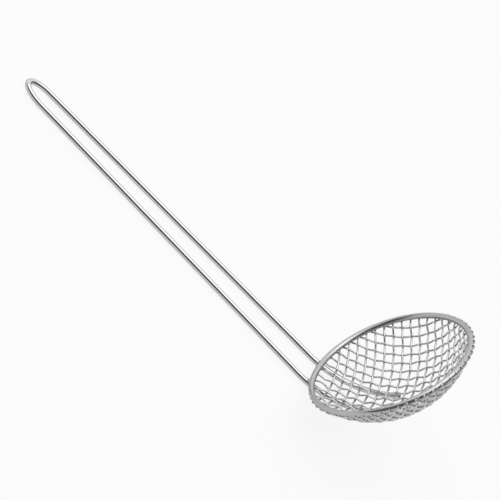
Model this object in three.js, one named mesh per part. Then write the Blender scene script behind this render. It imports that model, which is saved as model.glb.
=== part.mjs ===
import * as THREE from 'three';

// A wire skimmer, in millimetres: a round rim hoop, one bent handle wire and a bowl of woven wires.
// It is drawn with the hoop's centre at the origin, the bowl hanging below it and the handle
// rising towards -X, and is then laid down on the back of its handle, as it lies on a table.

// Driving dimensions
const RIM_RADIUS = 80; // centre line of the hoop
const RIM_WIRE = 5.8; // diameter
const HANDLE_WIRE = 5.8; // diameter
const MESH_WIRE = 2; // diameter
const MESH_PITCH = 8.95; // from wire to wire, measured along the wires
const BOWL_DEPTH = 43.5; // from the hoop's centre line down to the middle of the mesh
const LONG_EDGE_BAND = 8; // bare band between the outermost long wire and the hoop
const CROSS_EDGE_BAND = 14; // bare band between the outermost cross wire and the hoop
const MESH_TURN = THREE.MathUtils.degToRad(4); // turn of the weave in the hoop, against the handle
const LEG_SPACING = 30.6; // between the centre lines of the two legs, under the bowl and at the hoop
const LEG_END_SETBACK = 13; // from the bowl's axis to the cut end of a leg
const HANDLE_SLOPE = THREE.MathUtils.degToRad(64.1); // handle above the plane of the hoop
const HANDLE_LENGTH = 381.5; // from the end of the legs' bend to the tip of the loop
const LOOP_WIDTH = 21.4; // between the centre lines where the loop begins
const LOOP_LENGTH = 23; // from there to the tip of the loop
const WELD_GAP = 0.3; // clearance left where wires touch

// Facets
const RIM_SIDES = 10;
const RIM_SEGMENTS = 72;
const HANDLE_SIDES = 8;
const BEND_STEPS = 14;
const LOOP_STEPS = 24;
const MESH_SIDES = 6;
const TRIM_STEPS = 24;

// The middle of the mesh is part of a sphere. The legs lie against the outside of the mesh and
// against the hoop at once, which settles how far outside the hoop's centre line the mesh passes.
const crimp = (MESH_WIRE + WELD_GAP) / 2;
const meshToLeg = crimp + MESH_WIRE / 2 + WELD_GAP + HANDLE_WIRE / 2;
const rimToLeg = RIM_WIRE / 2 + WELD_GAP + HANDLE_WIRE / 2;
const rimToMesh = rimToLeg - meshToLeg;
const rise = BOWL_DEPTH - rimToMesh;
const centreHeight = (RIM_RADIUS ** 2 - rise ** 2) / (2 * rise);
const bowlRadius = centreHeight + BOWL_DEPTH;
const rimAngle = Math.atan2(RIM_RADIUS, centreHeight);
const rimArc = bowlRadius * rimAngle;
const wireEndClearance = RIM_WIRE / 2 + WELD_GAP + MESH_WIRE / 2;

const polishedSteel = { color: 0xcbcccd, roughness: 0.22, metalness: 1 };
const drawnSteel = { color: 0xd1d2d3, roughness: 0.25, metalness: 1 };

const skimmer = new THREE.Group();
skimmer.name = 'skimmer';

function addPiece(name, geometry, finish) {
  const piece = new THREE.Mesh(geometry, new THREE.MeshStandardMaterial(finish));
  piece.name = name;
  skimmer.add(piece);
}

// A closed wire with a ring of corners at each stop. A stop is a point of the centre line and
// a direction that one of the wire's flats faces there.
function wireGeometry(stops, diameter, sides) {
  const corners = [];
  const faces = [];
  stops.forEach((stop, k) => {
    const before = stops[Math.max(k - 1, 0)].point;
    const after = stops[Math.min(k + 1, stops.length - 1)].point;
    const backward = stop.point.clone().sub(before).normalize();
    const forward = after.clone().sub(stop.point).normalize();
    const along = backward.add(forward).normalize();
    const across = along.clone().cross(stop.facing).normalize();
    const outward = across.clone().cross(along);
    for (let side = 0; side < sides; side++) {
      const turn = ((side + 0.5) * 2 * Math.PI) / sides;
      const corner = stop.point.clone();
      corner.addScaledVector(outward, (Math.cos(turn) * diameter) / 2);
      corner.addScaledVector(across, (Math.sin(turn) * diameter) / 2);
      corners.push(corner.x, corner.y, corner.z);
    }
  });
  const last = (stops.length - 1) * sides;
  for (let ring = 0; ring < last; ring += sides) {
    for (let side = 0; side < sides; side++) {
      const next = (side + 1) % sides;
      faces.push(ring + side, ring + next, ring + sides + next);
      faces.push(ring + side, ring + sides + next, ring + sides + side);
    }
  }
  for (let side = 1; side < sides - 1; side++) {
    faces.push(0, side + 1, side);
    faces.push(last, last + side, last + side + 1);
  }
  const geometry = new THREE.BufferGeometry();
  geometry.setAttribute('position', new THREE.Float32BufferAttribute(corners, 3));
  geometry.setIndex(faces);
  geometry.computeVertexNormals();
  return geometry;
}

// Handle: two legs that follow the outside of the bowl, straight runs and a narrow end loop
function handleStops() {
  const half = LEG_SPACING / 2;
  const legRadius = Math.sqrt((bowlRadius + meshToLeg) ** 2 - half ** 2);
  const firstAngle = Math.asin(LEG_END_SETBACK / legRadius);
  const back = (angle) => new THREE.Vector3(-Math.sin(angle), 0, -Math.cos(angle));
  const upHandle = new THREE.Vector3(-Math.cos(HANDLE_SLOPE), 0, Math.sin(HANDLE_SLOPE));
  const leg = [];
  for (let k = 0; k <= BEND_STEPS; k++) {
    const angle = THREE.MathUtils.lerp(firstAngle, HANDLE_SLOPE, k / BEND_STEPS);
    const point = back(angle).multiplyScalar(legRadius);
    point.y = half;
    point.z += centreHeight;
    leg.push({ point, facing: back(angle) });
  }
  const bendEnd = leg[BEND_STEPS].point.clone();
  bendEnd.y = 0;
  const loop = [];
  for (let k = 0; k <= LOOP_STEPS; k++) {
    const turn = (Math.PI * k) / LOOP_STEPS;
    const run = HANDLE_LENGTH - LOOP_LENGTH + LOOP_LENGTH * Math.sin(turn);
    const point = bendEnd.clone().addScaledVector(upHandle, run);
    point.y = (LOOP_WIDTH / 2) * Math.cos(turn);
    loop.push({ point, facing: back(HANDLE_SLOPE) });
  }
  const otherLeg = leg.map(({ point, facing }) => {
    const mirrored = point.clone();
    mirrored.y = -point.y;
    return { point: mirrored, facing };
  });
  return [...leg, ...loop, ...otherLeg.reverse()];
}

// Woven bowl: a net of equal wire spans on the sphere, kept for one quarter at half the pitch.
// Each knot is the mirror image of the knot inside it, in the plane through the sphere's centre
// and the two knots between them, so every span has the same length.
function quarterNet(steps) {
  const stepAngle = 2 * Math.asin(MESH_PITCH / 4 / bowlRadius);
  const net = [];
  for (let i = 0; i <= steps; i++) {
    net.push([]);
    for (let j = 0; j <= steps; j++) {
      if (i > 0 && j > 0) {
        const mirror = net[i - 1][j].clone().cross(net[i][j - 1]).normalize();
        net[i].push(net[i - 1][j - 1].clone().reflect(mirror));
      } else {
        const knot = new THREE.Vector3(Math.sin(i * stepAngle), Math.sin(j * stepAngle), 0);
        knot.z = -Math.cos((i + j) * stepAngle);
        net[i].push(knot.multiplyScalar(bowlRadius));
      }
    }
  }
  return net;
}

const wiresEachSide = (edgeBand) => Math.floor((rimArc - edgeBand) / MESH_PITCH + 0.5);
const netSteps = 2 * Math.ceil(rimArc / MESH_PITCH) + 3;
const net = quarterNet(netSteps);
const bowlAxis = new THREE.Vector3(0, 0, 1);

// A crossing at odd steps i and j of the net, on the inner or the outer layer of the weave
function crossing(i, j, layer) {
  const facing = net[Math.abs(i)][Math.abs(j)].clone();
  facing.x *= Math.sign(i);
  facing.y *= Math.sign(j);
  facing.normalize().applyAxisAngle(bowlAxis, MESH_TURN);
  const point = facing.clone().multiplyScalar(bowlRadius + layer * crimp);
  point.z += centreHeight;
  return { point, facing };
}

// Long wires pass over and under in turn, and cross wires do the opposite
const longLayer = (i, j) => ((i + j) / 2) % 2 === 0 ? -1 : 1;

function meetsRim(point) {
  const reach = Math.hypot(point.x, point.y);
  const toRim = Math.hypot(reach - RIM_RADIUS, point.z);
  return toRim < wireEndClearance || Math.atan2(reach, centreHeight - point.z) > rimAngle;
}

// Where the straight span from one stop to the next meets the hoop
function cutAtRim(inside, outside) {
  let clear = 0;
  let met = 1;
  for (let k = 0; k < TRIM_STEPS; k++) {
    const share = (clear + met) / 2;
    if (meetsRim(inside.point.clone().lerp(outside.point, share))) met = share;
    else clear = share;
  }
  return { point: inside.point.clone().lerp(outside.point, clear), facing: inside.facing };
}

// The stops of a wire from its middle to the hoop on one side
function halfWire(stopAt, side) {
  const stops = [];
  for (let step = 1; step <= netSteps; step += 2) {
    const stop = stopAt(side * step);
    if (meetsRim(stop.point)) {
      const end = cutAtRim(stops[stops.length - 1], stop);
      if (end.point.distanceTo(stops[stops.length - 1].point) < MESH_WIRE / 2) stops.pop();
      stops.push(end);
      break;
    }
    stops.push(stop);
  }
  return stops;
}

function addWires(name, edgeBand, stopAt) {
  const count = wiresEachSide(edgeBand);
  for (let k = 0; k < 2 * count; k++) {
    const place = 2 * (k - count) + 1;
    const near = halfWire((step) => stopAt(place, step), -1).reverse();
    const far = halfWire((step) => stopAt(place, step), 1);
    const geometry = wireGeometry([...near, ...far], MESH_WIRE, MESH_SIDES);
    addPiece(`${name}_${String(k + 1).padStart(2, '0')}`, geometry, drawnSteel);
  }
}

addPiece('rim_hoop', new THREE.TorusGeometry(RIM_RADIUS, RIM_WIRE / 2, RIM_SIDES, RIM_SEGMENTS), polishedSteel);
addPiece('handle_wire', wireGeometry(handleStops(), HANDLE_WIRE, HANDLE_SIDES), polishedSteel);
addWires('long_wire', LONG_EDGE_BAND, (j, i) => crossing(i, j, longLayer(i, j)));
addWires('cross_wire', CROSS_EDGE_BAND, (i, j) => crossing(i, j, -longLayer(i, j)));

// Laid down, with the middle of its footprint at the origin
skimmer.rotation.y = -HANDLE_SLOPE;
const box = new THREE.Box3().setFromObject(skimmer, true);
const middle = box.getCenter(new THREE.Vector3());
skimmer.position.set(-middle.x, -middle.y, -box.min.z);

export default skimmer;
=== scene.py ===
import math

import bpy
import numpy as np
from mathutils import Matrix, Vector, noise


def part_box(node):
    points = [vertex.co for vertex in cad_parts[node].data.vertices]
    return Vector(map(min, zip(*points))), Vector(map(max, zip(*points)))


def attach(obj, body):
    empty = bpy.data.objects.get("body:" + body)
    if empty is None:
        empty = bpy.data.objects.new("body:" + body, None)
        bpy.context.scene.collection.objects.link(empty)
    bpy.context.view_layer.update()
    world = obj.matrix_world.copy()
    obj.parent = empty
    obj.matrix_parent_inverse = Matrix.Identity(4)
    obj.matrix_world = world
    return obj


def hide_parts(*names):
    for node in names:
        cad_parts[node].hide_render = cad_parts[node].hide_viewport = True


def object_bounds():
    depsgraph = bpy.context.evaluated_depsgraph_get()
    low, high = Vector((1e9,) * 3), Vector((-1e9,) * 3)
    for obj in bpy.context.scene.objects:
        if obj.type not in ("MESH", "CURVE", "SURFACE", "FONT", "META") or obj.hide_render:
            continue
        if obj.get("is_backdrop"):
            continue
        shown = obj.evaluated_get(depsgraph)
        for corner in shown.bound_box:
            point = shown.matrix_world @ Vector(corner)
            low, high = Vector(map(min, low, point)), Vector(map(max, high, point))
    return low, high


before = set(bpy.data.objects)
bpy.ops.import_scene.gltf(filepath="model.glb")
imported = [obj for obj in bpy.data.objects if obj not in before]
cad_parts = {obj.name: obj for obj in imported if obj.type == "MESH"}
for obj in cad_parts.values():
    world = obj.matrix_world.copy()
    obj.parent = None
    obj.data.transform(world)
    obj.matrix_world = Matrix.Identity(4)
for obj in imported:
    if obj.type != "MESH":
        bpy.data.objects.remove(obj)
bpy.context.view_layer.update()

# A wire skimmer that lies on the back of its handle: rim hoop, bent handle wire and woven bowl.
# Lengths are in metres. Shapes are worked out with the hoop's centre at the origin and the bowl's
# mouth facing +Z, and are then carried over to where the hoop lies in the frame.

MM = 0.001

# Sizes that the solids share
RIM_RADIUS = 80 * MM  # centre line of the hoop
RIM_WIRE = 5.8 * MM  # diameter
HANDLE_WIRE = 5.8 * MM  # diameter
MESH_WIRE = 2 * MM  # diameter
MESH_PITCH = 8.95 * MM  # from wire to wire, along the wires
BOWL_DEPTH = 43.5 * MM  # from the hoop's centre line to the middle of the mesh
LONG_WIRES = 20  # mesh wires that run the same way as the handle
CROSS_WIRES = 18  # mesh wires that run across it
MESH_TURN = math.radians(4)  # turn of the weave in the hoop, against the handle
LEG_SPACING = 30.6 * MM  # between the centre lines of the legs, under the bowl and at the hoop
LEG_END_SETBACK = 13 * MM  # from the bowl's axis to the cut end of a leg
HANDLE_SLOPE = math.radians(64.1)  # handle above the plane of the hoop
HANDLE_LENGTH = 381.5 * MM  # from the end of the legs' bend to the tip of the loop
LOOP_WIDTH = 21.4 * MM  # between the centre lines where the loop begins
LOOP_LENGTH = 23 * MM  # from there to the tip of the loop
WELD_GAP = 0.3 * MM  # clearance that the solids keep where wires touch

# Finer forms that only show here
END_SINK = 0.8 * MM  # how far a wire end is pressed into the hoop
END_OVERRUN = 2.4 * MM  # how far a wire end runs on round the hoop from where it touches it
END_SHIFT = 1.5 * MM  # how much further it runs on opposite the handle, and less beside it
FLARE_LENGTH = 7 * MM  # last stretch of a wire, which leans out over the hoop
LEG_SHADE = 4.2 * MM  # wires this close to a leg's centre line stop where they meet the hoop
CROSSING = 1.84 * MM  # between the centre lines of two wires that cross
LONG_SHARE = 0.6  # share of that which the long wires bend
LEG_EDGE = 0.18  # rounding of a leg's cut end, as a share of the wire's radius
TIP_EDGE = 0.5  # the same for the melted tips of the mesh wires
BEAD_SHAPE = (0.6, 0.55, 0.38)  # a weld bead's reach along, beside and off the leg, in RIM_WIREs
BEAD_UNEVENNESS = 0.16  # share by which a bead bulges and shrinks
BEAD_LUMPS = 1.7  # how close its bulges are
BEAD_DRAW = 3  # where in the noise each bead takes its bulges from

# Fineness of the meshes
RIM_STEPS = 240
RIM_SIDES = 28
HANDLE_SIDES = 24
BEND_STEPS = 40
LEG_STEPS = 60
LOOP_STEPS = 56
MESH_SIDES = 12
SPAN_STEPS = 6  # rings for each half span of a mesh wire
EDGE_STEPS = 3  # rings for the rounding of a wire's end
BEAD_ROWS = 14
BEAD_COLUMNS = 28
SHARP_ANGLE = math.radians(38)  # edges that turn more than this stay crisp

# Steel
BLUE_CAST = 0.004  # what the blue of a steel is above its red and green
GRAZING_TINT = (0.72, 0.72, 0.72, 1)  # reflection of the steel at a grazing angle
LINES_ALONG = 0.12  # scale of the drawn lines along a wire, per diameter
LINE_DETAIL, LINE_ROUGHNESS = 5.0, 0.62
CLOUD_SCALE, CLOUD_DETAIL, CLOUD_ROUGHNESS = 95.0, 3.0, 0.55
TONE_RANGE = (0.3, 0.72)  # part of the lines' noise that goes from the dark to the light tone
GLOSS_RANGE = (0.12, 0.42)  # part of lines times clouds that goes from glossy to dull
LINE_DEPTH = 0.2 * MM

# Floor, light and camera
FLOOR_HALF = 40.0
FLOOR_WHITE = (0.93, 0.93, 0.93, 1)
FLOOR_SEEN = 0.85  # share of plain white in the floor as the camera sees it
FLOOR_MIRRORED = 0.45  # the same as the steel reflects it
BRIGHT_SIDE = (-0.315, 0.59, 0.744)  # direction of the bright part of the room
BRIGHT_EDGE = (0.36, 0.58)  # cosines to that direction between which the room brightens
ROOM_LEVELS = (0.12, 1.05)  # dark and bright part
KEY_PLACE = (-0.275, 0.03, 1.6)
KEY_WIDTH, KEY_HEIGHT = 2.05, 1.1
KEY_RADIANCE = 0.7
LAMP_FACTOR = 4  # watts of an area lamp, per square metre and unit of radiance
CAMERA_AZIMUTH = math.radians(-16.19)
CAMERA_ELEVATION = math.radians(39.02)
CAMERA_ROLL = math.radians(56.13)
CAMERA_DISTANCE = 8.0
CAMERA_AIM = (-167.09, 15.34, -39.33)  # from the hoop's centre, in millimetres
CAMERA_REACH = 200  # furthest that the camera sees
SENSOR_WIDTH = 36  # in millimetres, as is the focal length
FOCAL_LENGTH = 607

# The middle of the mesh is part of a sphere that the legs lie against
crimp = (MESH_WIRE + WELD_GAP) / 2
mesh_to_leg = crimp + MESH_WIRE / 2 + WELD_GAP + HANDLE_WIRE / 2
rim_to_leg = RIM_WIRE / 2 + WELD_GAP + HANDLE_WIRE / 2
rim_to_mesh = rim_to_leg - mesh_to_leg
rise = BOWL_DEPTH - rim_to_mesh
centre_height = (RIM_RADIUS**2 - rise**2) / (2 * rise)
bowl_radius = centre_height + BOWL_DEPTH
rim_angle = math.atan2(RIM_RADIUS, centre_height)
leg_radius = math.sqrt((bowl_radius + mesh_to_leg) ** 2 - (LEG_SPACING / 2) ** 2)
lap = RIM_WIRE / 2 + MESH_WIRE / 2 - END_SINK  # from the hoop's centre line to a wire end's
net_steps = 2 * math.ceil(bowl_radius * rim_angle / MESH_PITCH) + 3

rim_low, rim_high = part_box("rim_hoop")
rim_centre = (rim_low + rim_high) / 2
to_frame = Matrix.Translation(rim_centre) @ Matrix.Rotation(-HANDLE_SLOPE, 4, "Y")


def unit(vectors):
    """The vectors, each made 1 long."""
    return vectors / np.linalg.norm(vectors, axis=-1, keepdims=True)


def smoothstep(x):
    """0 up to x = 0, 1 from x = 1 on, and a smooth rise in between."""
    x = np.clip(x, 0, 1)
    return x * x * (3 - 2 * x)


# Materials


def node(tree, kind, **sockets):
    """A new node, with values for its sockets; a socket's name has _ in place of spaces."""
    made = tree.nodes.new(kind)
    for name, value in sockets.items():
        made.inputs[name.replace("_", " ")].default_value = value
    return made


def math_node(tree, operation):
    """A new node that works out one operation."""
    made = tree.nodes.new("ShaderNodeMath")
    made.operation = operation
    return made


def steel(name, tones, roughness, streaks, relief):
    """Drawn steel: fine lines along the wire, cloudy gloss and a slight change of tone."""
    material = bpy.data.materials.new(name)
    material.use_nodes = True
    tree = material.node_tree
    link = tree.links.new
    shader = tree.nodes["Principled BSDF"]
    shader.inputs["Metallic"].default_value = 1.0
    shader.inputs["Specular Tint"].default_value = GRAZING_TINT

    place = tree.nodes.new("ShaderNodeAttribute")
    place.attribute_name = "wire_place"
    stretch = node(tree, "ShaderNodeMapping", Scale=(streaks, streaks, LINES_ALONG))
    link(place.outputs["Vector"], stretch.inputs["Vector"])
    lines = node(
        tree, "ShaderNodeTexNoise", Scale=1.0, Detail=LINE_DETAIL, Roughness=LINE_ROUGHNESS
    )
    link(stretch.outputs["Vector"], lines.inputs["Vector"])
    where = tree.nodes.new("ShaderNodeTexCoord")
    clouds = node(
        tree,
        "ShaderNodeTexNoise",
        Scale=CLOUD_SCALE,
        Detail=CLOUD_DETAIL,
        Roughness=CLOUD_ROUGHNESS,
    )
    link(where.outputs["Object"], clouds.inputs["Vector"])

    ramp = tree.nodes.new("ShaderNodeValToRGB")
    for element, position, tone in zip(ramp.color_ramp.elements, TONE_RANGE, tones):
        element.position = position
        element.color = (tone, tone, tone + BLUE_CAST, 1)
    link(lines.outputs["Fac"], ramp.inputs["Fac"])
    link(ramp.outputs["Color"], shader.inputs["Base Color"])

    both = math_node(tree, "MULTIPLY")
    link(lines.outputs["Fac"], both.inputs[0])
    link(clouds.outputs["Fac"], both.inputs[1])
    gloss = node(
        tree,
        "ShaderNodeMapRange",
        From_Min=GLOSS_RANGE[0],
        From_Max=GLOSS_RANGE[1],
        To_Min=roughness[0],
        To_Max=roughness[1],
    )
    link(both.outputs["Value"], gloss.inputs["Value"])
    link(gloss.outputs["Result"], shader.inputs["Roughness"])

    bump = node(tree, "ShaderNodeBump", Strength=relief, Distance=LINE_DEPTH)
    link(lines.outputs["Fac"], bump.inputs["Height"])
    link(bump.outputs["Normal"], shader.inputs["Normal"])
    return material


polished_steel = steel(
    "polished_steel", tones=(0.6, 0.7), roughness=(0.08, 0.2), streaks=5.0, relief=0.1
)
satin_steel = steel(
    "satin_steel", tones=(0.45, 0.55), roughness=(0.16, 0.32), streaks=4.0, relief=0.16
)
drawn_steel = steel(
    "drawn_steel", tones=(0.59, 0.71), roughness=(0.08, 0.2), streaks=3.0, relief=0.12
)
weld_steel = steel(
    "weld_steel", tones=(0.42, 0.58), roughness=(0.24, 0.48), streaks=2.0, relief=0.3
)


# Pieces


def piece(name, vertices, faces, place, material, slot):
    """A smooth mesh in the frame, which keeps each vertex's place on its wire."""
    mesh = bpy.data.meshes.new(name)
    mesh.from_pydata([to_frame @ Vector(v) for v in vertices], [], faces)
    places = mesh.attributes.new("wire_place", "FLOAT_VECTOR", "POINT")
    places.data.foreach_set("vector", place.ravel())
    mesh.polygons.foreach_set("use_smooth", [True] * len(mesh.polygons))
    mesh.set_sharp_from_angle(angle=SHARP_ANGLE)
    mesh.materials.append(material)
    made = bpy.data.objects.new(name, mesh)
    bpy.context.scene.collection.objects.link(made)
    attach(made, "root")
    return made


def rounded_ends(path, facing, radius, edge):
    """A path with more rings at its two ends, whose corners are rounded off there; also the
    direction, the facing and the radius of the wire at each ring."""
    turn = np.linspace(0, math.pi / 2, EDGE_STEPS + 1)
    inset = edge * radius * (1 - np.cos(turn))[:, None]
    narrowed = edge * radius * (1 - np.sin(turn))
    start = path[0] + inset * unit(path[1] - path[0])
    end = path[-1] + inset * unit(path[-2] - path[-1])
    at_start = [path[1] - path[0]] * EDGE_STEPS
    at_end = [path[-1] - path[-2]] * EDGE_STEPS
    along = np.vstack(at_start + [np.gradient(path, axis=0)] + at_end)
    path = np.vstack([start, path[1:-1], end[::-1]])
    facing = np.vstack([facing[:1]] * EDGE_STEPS + [facing] + [facing[-1:]] * EDGE_STEPS)
    radii = np.full(len(path), radius)
    radii[: EDGE_STEPS + 1] -= narrowed
    radii[-EDGE_STEPS - 1 :] -= narrowed[::-1]
    return path, along, facing, radii


def sweep(path, facing, diameter, sides, edge=None):
    """Vertices, faces and places of a round wire along a path; facing is where its rings begin.
    The wire is a closed ring where edge, the rounding of its ends, is left out."""
    closed = edge is None
    if closed:
        along = np.roll(path, -1, 0) - np.roll(path, 1, 0)
        radii = np.full(len(path), diameter / 2)
    else:
        path, along, facing, radii = rounded_ends(path, facing, diameter / 2, edge)
    along = unit(along)
    across = unit(np.cross(along, facing))
    outward = np.cross(across, along)
    turn = np.arange(sides) * 2 * math.pi / sides
    cos, sin = np.cos(turn), np.sin(turn)
    spokes = cos[None, :, None] * outward[:, None] + sin[None, :, None] * across[:, None]
    vertices = path[:, None] + radii[:, None, None] * spokes
    spans = np.linalg.norm(np.diff(path, axis=0), axis=1)
    run = np.concatenate([[0], np.cumsum(spans)]) / diameter
    place = np.zeros_like(vertices)
    place[..., 0] = cos
    place[..., 1] = sin
    place[..., 2] = run[:, None]
    rings = len(path)
    faces = []
    for ring in range(rings if closed else rings - 1):
        here = ring * sides
        there = (ring + 1) % rings * sides
        for side in range(sides):
            after = (side + 1) % sides
            faces.append((here + side, here + after, there + after, there + side))
    if not closed:
        faces.append(tuple(range(sides - 1, -1, -1)))
        faces.append(tuple(range((rings - 1) * sides, rings * sides)))
    return vertices.reshape(-1, 3), faces, place.reshape(-1, 3)


def make_rim():
    """The hoop round the bowl's mouth."""
    turn = np.arange(RIM_STEPS) * 2 * math.pi / RIM_STEPS
    facing = np.stack([np.cos(turn), np.sin(turn), np.zeros(RIM_STEPS)], 1)
    swept = sweep(facing * RIM_RADIUS, facing, RIM_WIRE, RIM_SIDES)
    made = piece("rim", *swept, satin_steel, "polished_wire")
    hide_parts("rim_hoop")


def make_handle():
    """Two legs along the bowl's outside, straight runs that draw together, and a narrow loop."""
    half = LEG_SPACING / 2
    bend = np.linspace(math.asin(LEG_END_SETBACK / leg_radius), HANDLE_SLOPE, BEND_STEPS)
    back = np.stack([-np.sin(bend), np.zeros(BEND_STEPS), -np.cos(bend)], 1)
    leg = back * leg_radius + np.array([0, half, centre_height])
    up_handle = np.array([-math.cos(HANDLE_SLOPE), 0, math.sin(HANDLE_SLOPE)])
    bend_end = leg[-1] * np.array([1, 0, 1])
    share = np.linspace(0, 1, LEG_STEPS)[1:-1, None]
    loop_start = HANDLE_LENGTH - LOOP_LENGTH
    run = bend_end + share * loop_start * up_handle
    run[:, 1] = (half + share * (LOOP_WIDTH / 2 - half))[:, 0]
    turn = np.linspace(0, math.pi, LOOP_STEPS)
    loop = bend_end + (loop_start + LOOP_LENGTH * np.sin(turn))[:, None] * up_handle
    loop[:, 1] = LOOP_WIDTH / 2 * np.cos(turn)
    mirror = np.array([1, -1, 1])
    one_side = np.vstack([leg, run])
    path = np.vstack([one_side, loop, (one_side * mirror)[::-1]])
    straight = np.repeat(back[-1:], len(path) - 2 * BEND_STEPS, 0)
    facing = np.vstack([back, straight, back[::-1]])
    swept = sweep(path, facing, HANDLE_WIRE, HANDLE_SIDES, LEG_EDGE)
    made = piece("handle", *swept, polished_steel, "polished_wire")
    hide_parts("handle_wire")


def quarter_net(steps):
    """A net of equal spans on a sphere of radius 1, for one quarter, at half the pitch."""
    step_angle = 2 * math.asin(MESH_PITCH / 4 / bowl_radius)
    net = np.zeros((steps + 1, steps + 1, 3))
    turns = np.arange(steps + 1) * step_angle
    net[:, 0] = np.stack([np.sin(turns), 0 * turns, -np.cos(turns)], 1)
    net[0, :] = np.stack([0 * turns, np.sin(turns), -np.cos(turns)], 1)
    for i in range(1, steps + 1):
        for j in range(1, steps + 1):
            mirror = unit(np.cross(net[i - 1, j], net[i, j - 1]))
            inner = net[i - 1, j - 1]
            net[i, j] = inner - 2 * np.dot(inner, mirror) * mirror
    return net


def net_line(net, place, is_long):
    """The knots of one wire from end to end of the net, turned as the weave is in the hoop."""
    step = np.arange(-net_steps, net_steps + 1)
    aside = np.full_like(step, place)
    i, j = (step, aside) if is_long else (aside, step)
    signs = np.stack([np.sign(i), np.sign(j), np.ones_like(step)], 1)
    knots = net[np.abs(i), np.abs(j)] * signs
    cos, sin = math.cos(MESH_TURN), math.sin(MESH_TURN)
    return knots @ np.array([[cos, sin, 0], [-sin, cos, 0], [0, 0, 1]])


def spline(knots):
    """Points of a smooth curve through the knots, and their places counted in knots."""
    padded = np.vstack([2 * knots[0] - knots[1], knots, 2 * knots[-1] - knots[-2]])
    points = []
    for k in range(len(knots) - 1):
        a, b, c, d = padded[k : k + 4]
        for t in np.arange(SPAN_STEPS) / SPAN_STEPS:
            points.append(
                b + t / 2 * (c - a + t * (2 * a - 5 * b + 4 * c - d + t * (3 * (b - c) + d - a)))
            )
    points.append(knots[-1])
    return np.array(points), np.arange(len(points)) / SPAN_STEPS


def cut(path, facing, left):
    """The stretch of a path where left is above 0, with its ends where left reaches 0."""
    inside = np.flatnonzero(left > 0)
    low, high = inside[0], inside[-1]
    start = path[low] + (path[low - 1] - path[low]) * left[low] / (left[low] - left[low - 1])
    end = path[high] + (path[high + 1] - path[high]) * left[high] / (left[high] - left[high + 1])
    return np.vstack([start, path[low + 1 : high], end]), facing[low : high + 1]


def mesh_wire(net, place, is_long):
    """Path and facing of a woven wire, which waves over and under the others and laps the hoop.
    place is its odd half step in the net, from the middle of the bowl."""
    points, steps = spline(net_line(net, place, is_long))
    steps = steps - net_steps
    facing = unit(points)
    outward = unit(facing * np.array([1, 1, 0]))
    to_rim = bowl_radius * (rim_angle - np.arccos(-facing[:, 2]))

    # Where a leg lies against the hoop, the wires stop short
    beside = np.abs(points[:, 1]) * RIM_RADIUS / np.hypot(points[:, 0], points[:, 1])
    under_leg = (points[:, 0] < 0) & (np.abs(beside - LEG_SPACING / 2) < LEG_SHADE)
    flare = np.where(under_leg, 0, smoothstep(1 - to_rim / FLARE_LENGTH))
    stop = np.where(under_leg, lap, -END_OVERRUN - END_SHIFT * outward[:, 0])

    # Inside the hoop
    wave = np.sin(math.pi * steps / 2) * math.sin(math.pi * place / 2) * (1 if is_long else -1)
    bend = CROSSING * (LONG_SHARE if is_long else 1 - LONG_SHARE)
    height = bowl_radius + bend * wave * (1 - flare) + (lap - rim_to_mesh) * flare
    path = facing * height[:, None] + np.array([0, 0, centre_height])

    # Round the outside of the hoop
    turned = np.maximum(-to_rim, 0)[:, None] / lap + rim_angle
    round_hoop = outward * (RIM_RADIUS + lap * np.sin(turned))
    round_hoop[:, 2] = -lap * np.cos(turned)[:, 0]
    path = np.where(to_rim[:, None] < 0, round_hoop, path)
    return cut(path, facing, to_rim - stop)


def make_bowl():
    """The woven wires of the bowl."""
    net = quarter_net(net_steps)
    for kind, count, is_long in (("long", LONG_WIRES, True), ("cross", CROSS_WIRES, False)):
        for k in range(count):
            path, facing = mesh_wire(net, 2 * k + 1 - count, is_long)
            swept = sweep(path, facing, MESH_WIRE, MESH_SIDES, TIP_EDGE)
            made = piece(f"{kind}_{k + 1:02d}", *swept, drawn_steel, "mesh_wire")
            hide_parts(f"{kind}_wire_{k + 1:02d}")


def bead_faces(last):
    """Faces of a ball of rows and columns, with a vertex at each pole; last is the second pole."""
    columns = range(BEAD_COLUMNS)
    faces = [(0, 1 + k, 1 + (k + 1) % BEAD_COLUMNS) for k in columns]
    for row in range(BEAD_ROWS - 2):
        here, there = 1 + row * BEAD_COLUMNS, 1 + (row + 1) * BEAD_COLUMNS
        for k in columns:
            after = (k + 1) % BEAD_COLUMNS
            faces.append((here + k, there + k, there + after, here + after))
    ring = last - BEAD_COLUMNS
    return faces + [(last, ring + (k + 1) % BEAD_COLUMNS, ring + k) for k in columns]


def make_welds():
    """A small uneven bead where each leg crosses the hoop."""
    across = LEG_SPACING / 2
    on_rim = np.array([-math.sqrt(RIM_RADIUS**2 - across**2), 0, 0])
    outward = unit(on_rim - np.array([0, 0, centre_height]))
    along = np.array([outward[2], 0, -outward[0]])
    size = np.array(BEAD_SHAPE) * RIM_WIRE
    for side, name in ((1, "weld_left"), (-1, "weld_right")):
        middle = on_rim + outward * rim_to_leg / 2 + np.array([0, side * across, 0])
        draw = Vector((BEAD_DRAW * side, 0, 0))
        vertices = []
        for row in range(BEAD_ROWS + 1):
            polar = math.pi * row / BEAD_ROWS
            for column in range(BEAD_COLUMNS if 0 < row < BEAD_ROWS else 1):
                turn = 2 * math.pi * column / BEAD_COLUMNS
                level = math.sin(polar)
                spot = np.array(
                    [level * math.cos(turn), level * math.sin(turn), math.cos(polar)]
                )
                bulge = noise.noise(Vector(spot) * BEAD_LUMPS + draw)
                x, y, z = spot * (1 + BEAD_UNEVENNESS * bulge) * size
                vertices.append(middle + x * along + np.array([0, y, 0]) + z * outward)
        faces = bead_faces(len(vertices) - 1)
        vertices = np.array(vertices)
        piece(name, vertices, faces, vertices / RIM_WIRE, weld_steel, "polished_wire")


make_rim()
make_handle()
make_bowl()
make_welds()


# Floor, light and camera


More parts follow.
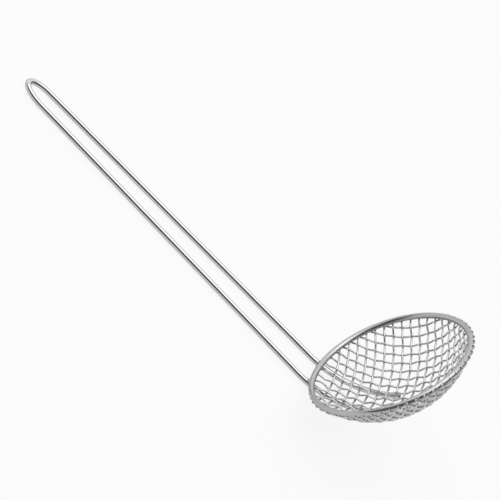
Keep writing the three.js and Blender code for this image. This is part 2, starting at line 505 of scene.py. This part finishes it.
def make_floor(level):
    """A wide white floor, which the camera sees nearly plain white and the steel less bright."""
    mesh = bpy.data.meshes.new("floor")
    corners = [(-1, -1), (1, -1), (1, 1), (-1, 1)]
    vertices = [(x * FLOOR_HALF, y * FLOOR_HALF, level) for x, y in corners]
    mesh.from_pydata(vertices, [], [(0, 1, 2, 3)])
    floor = bpy.data.objects.new("floor", mesh)
    bpy.context.scene.collection.objects.link(floor)
    material = bpy.data.materials.new("floor_white")
    material.use_nodes = True
    tree = material.node_tree
    link = tree.links.new
    tree.nodes.clear()
    plain = node(tree, "ShaderNodeBsdfDiffuse", Color=FLOOR_WHITE)
    glow = node(tree, "ShaderNodeEmission", Color=(1, 1, 1, 1), Strength=1.0)
    path = tree.nodes.new("ShaderNodeLightPath")
    mirrored = math_node(tree, "MAXIMUM")
    link(path.outputs["Is Glossy Ray"], mirrored.inputs[0])
    link(path.outputs["Is Transmission Ray"], mirrored.inputs[1])
    dimmed = math_node(tree, "MULTIPLY")
    dimmed.inputs[1].default_value = FLOOR_MIRRORED
    link(mirrored.outputs["Value"], dimmed.inputs[0])
    share = math_node(tree, "MULTIPLY_ADD")
    share.inputs[1].default_value = FLOOR_SEEN
    link(path.outputs["Is Camera Ray"], share.inputs[0])
    link(dimmed.outputs["Value"], share.inputs[2])
    mix = tree.nodes.new("ShaderNodeMixShader")
    link(share.outputs["Value"], mix.inputs["Fac"])
    link(plain.outputs["BSDF"], mix.inputs[1])
    link(glow.outputs["Emission"], mix.inputs[2])
    out = tree.nodes.new("ShaderNodeOutputMaterial")
    link(mix.outputs["Shader"], out.inputs["Surface"])
    mesh.materials.append(material)
    floor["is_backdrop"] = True


def make_world():
    """A grey room that is dark in front of the skimmer and bright above and behind it."""
    world = bpy.data.worlds.new("room")
    bpy.context.scene.world = world
    world.use_nodes = True
    tree = world.node_tree
    link = tree.links.new
    where = tree.nodes.new("ShaderNodeTexCoord")
    towards = tree.nodes.new("ShaderNodeVectorMath")
    towards.operation = "DOT_PRODUCT"
    towards.inputs[1].default_value = BRIGHT_SIDE
    link(where.outputs["Generated"], towards.inputs[0])
    glow = node(
        tree,
        "ShaderNodeMapRange",
        From_Min=BRIGHT_EDGE[0],
        From_Max=BRIGHT_EDGE[1],
        To_Min=ROOM_LEVELS[0],
        To_Max=ROOM_LEVELS[1],
    )
    glow.interpolation_type = "SMOOTHSTEP"
    link(towards.outputs["Value"], glow.inputs["Value"])
    background = tree.nodes["Background"]
    background.inputs["Color"].default_value = (1, 1, 1, 1)
    link(glow.outputs["Result"], background.inputs["Strength"])


def make_key():
    """A wide soft lamp above the skimmer, which faces straight down."""
    light = bpy.data.lights.new("key", "AREA")
    light.shape = "RECTANGLE"
    light.size, light.size_y = KEY_WIDTH, KEY_HEIGHT
    light.energy = KEY_RADIANCE * LAMP_FACTOR * KEY_WIDTH * KEY_HEIGHT
    lamp = bpy.data.objects.new("key", light)
    bpy.context.scene.collection.objects.link(lamp)
    lamp.location = KEY_PLACE
    lamp.visible_camera = False


def make_camera():
    """A long lens at the photograph's angle, which is turned a good way round its line of sight."""
    lens = bpy.data.cameras.new("camera")
    lens.sensor_width = SENSOR_WIDTH
    lens.lens = FOCAL_LENGTH
    lens.clip_end = CAMERA_REACH
    camera = bpy.data.objects.new("camera", lens)
    bpy.context.scene.collection.objects.link(camera)
    back = Vector(
        (
            math.sin(CAMERA_AZIMUTH) * math.cos(CAMERA_ELEVATION),
            -math.cos(CAMERA_AZIMUTH) * math.cos(CAMERA_ELEVATION),
            math.sin(CAMERA_ELEVATION),
        )
    )
    level_right = Vector((math.cos(CAMERA_AZIMUTH), math.sin(CAMERA_AZIMUTH), 0))
    level_up = back.cross(level_right)
    right = level_right * math.cos(CAMERA_ROLL) + level_up * math.sin(CAMERA_ROLL)
    up = back.cross(right)
    turned = Matrix((right, up, back)).transposed().to_4x4()
    aim = rim_centre + Vector(CAMERA_AIM) * MM
    camera.matrix_world = Matrix.Translation(aim + back * CAMERA_DISTANCE) @ turned
    bpy.context.scene.camera = camera


low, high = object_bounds()
make_floor(low.z)
make_world()
make_key()
make_camera()
bpy.context.scene.view_settings.view_transform = "Standard"

low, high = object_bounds()
